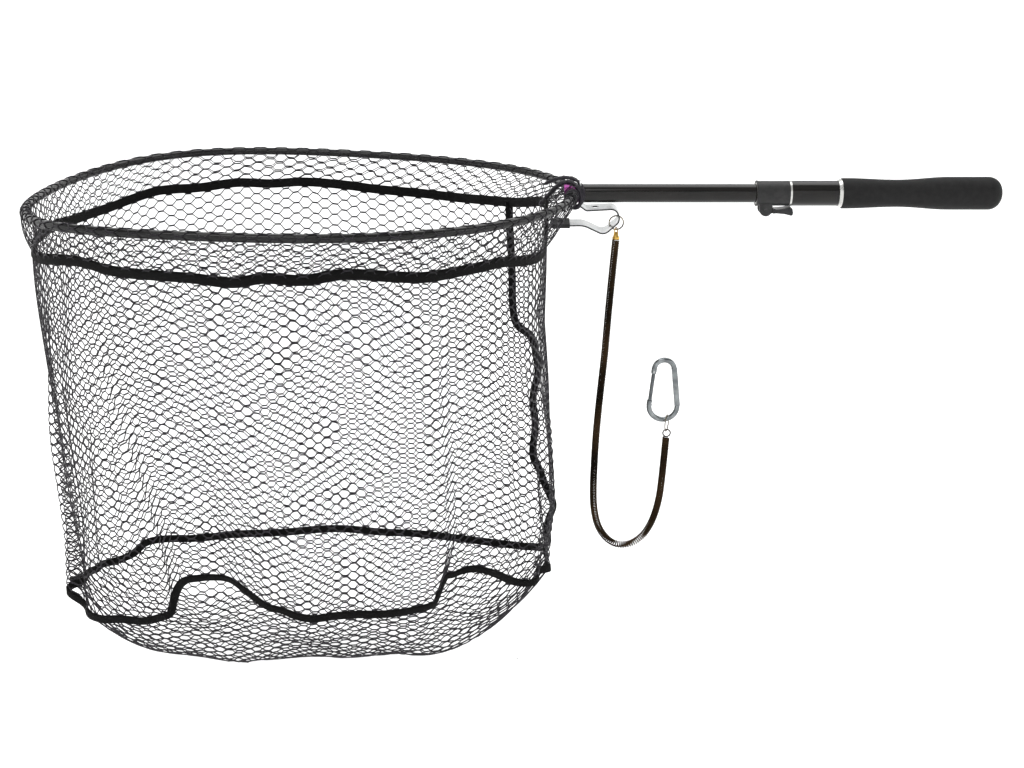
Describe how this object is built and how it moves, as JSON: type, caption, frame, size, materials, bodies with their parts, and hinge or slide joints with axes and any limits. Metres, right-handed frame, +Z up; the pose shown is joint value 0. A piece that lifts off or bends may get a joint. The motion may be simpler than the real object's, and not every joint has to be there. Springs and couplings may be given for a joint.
{
  "type": "landing net",
  "caption": "Deep-bag landing net on a round hoop with a two-section telescopic handle, flip lock, belt clip and coiled lanyard.",
  "frame": {"origin": "on the handle's axis, at the middle of the grip's round bulge", "axes": "+X along the handle from the net to the butt, +Y to the right when looking from the butt towards the net, +Z up and out of the net's mouth"},
  "size_m": [0.9606, 0.483, 0.502],
  "materials": {
    "hoop_black": "black anodised tube, satin",
    "hub_purple": "magenta-purple anodised, glossy",
    "dark_steel": "blackened set screws",
    "plain_steel": "plain steel",
    "clip_steel": "satin spring steel",
    "black_rubber": "matte black rubber",
    "netting": "rubber-coated knotless hexagonal mesh, dark charcoal",
    "binding_tape": "black woven binding tape",
    "tube_black": "gloss black anodised tube",
    "black_plastic": "black moulded plastic",
    "bright_aluminium": "turned bright aluminium",
    "nylon": "natural nylon",
    "textured_plastic": "black plastic, fine spark texture",
    "grip_foam": "dense matte foam",
    "lever_plastic": "black moulded plastic, satin",
    "ring_steel": "nickel-plated wire",
    "brass_fitting": "polished brass",
    "coil_bronze": "dark bronze-brown coated wire coil",
    "copper_fitting": "dark copper wire",
    "carabiner_steel": "polished steel bar",
    "gate_steel": "satin steel gate"
  },
  "bodies": {
    "grip_section": {"outer_tube": "tube_black", "lock_collar": "textured_plastic", "guide_bush": "nylon", "trim_ring_front": "bright_aluminium", "trim_ring_grip": "bright_aluminium", "grip": "grip_foam", "butt_plug": "black_plastic", "lever_pin": "plain_steel"},
    "lever": {"lock_lever": "lever_plastic"},
    "pad": {"brake_pad": "black_rubber"},
    "glide": {"glide_ring": "nylon"},
    "head": {"inner_tube": "tube_black", "front_plug": "black_plastic", "rear_plug": "black_plastic", "stop_ring": "bright_aluminium", "hoop_tube": "hoop_black", "hub": "hub_purple", "hub_screws": "dark_steel", "hub_stud": "plain_steel", "belt_clip": "clip_steel", "clip_sleeve": "black_rubber", "net_collar": "netting", "net_wall": "netting", "net_base": "netting", "top_tape": "binding_tape", "base_tape": "binding_tape", "seam_tape": "binding_tape"},
    "lanyard": {"split_ring": "ring_steel", "upper_loop": "brass_fitting", "lanyard_coil": "coil_bronze", "lower_loop": "copper_fitting"},
    "carabiner": {"link_ring": "ring_steel", "carabiner_body": "carabiner_steel", "gate_pin": "plain_steel"},
    "gate": {"carabiner_gate": "gate_steel", "gate_spring": "plain_steel"}
  },
  "joints": [
    {"name": "lever_flip", "type": "hinge", "parent": "grip_section", "child": "lever", "pos_m": [-0.2028, 0, -0.0157], "axis": [0, 1, 0], "range_deg": [0, 100]},
    {"name": "pad_press", "type": "slide", "parent": "grip_section", "child": "pad", "axis": [0, 0, -1], "range_m": [0, 0.00045]},
    {"name": "handle_slide", "type": "slide", "parent": "grip_section", "child": "glide", "axis": [1, 0, 0], "range_m": [0, 0.12]},
    {"name": "head_twist", "type": "hinge", "parent": "glide", "child": "head", "pos_m": [-0.15, 0, 0], "axis": [1, 0, 0], "continuous": true},
    {"name": "ring_swing", "type": "hinge", "parent": "head", "child": "lanyard", "pos_m": [-0.351, 0.00319, -0.03033], "axis": [0, -0.9945, -0.1045], "range_deg": [0, 40]},
    {"name": "carabiner_swing", "type": "hinge", "parent": "lanyard", "child": "carabiner", "pos_m": [-0.2928, 0.00394, -0.2556], "axis": [0, 1, 0], "range_deg": [-35, 90]},
    {"name": "gate_open", "type": "hinge", "parent": "carabiner", "child": "gate", "pos_m": [-0.30816, 0.00394, -0.18746], "axis": [0, -1, 0], "range_deg": [0, 24], "stiffness_Nm_per_rad": 0.01, "springref_deg": -17.19}
  ],
  "couplings": [
    {"joint": "pad_press", "follows": "lever_flip", "m_per_rad": 0.000229}
  ]
}
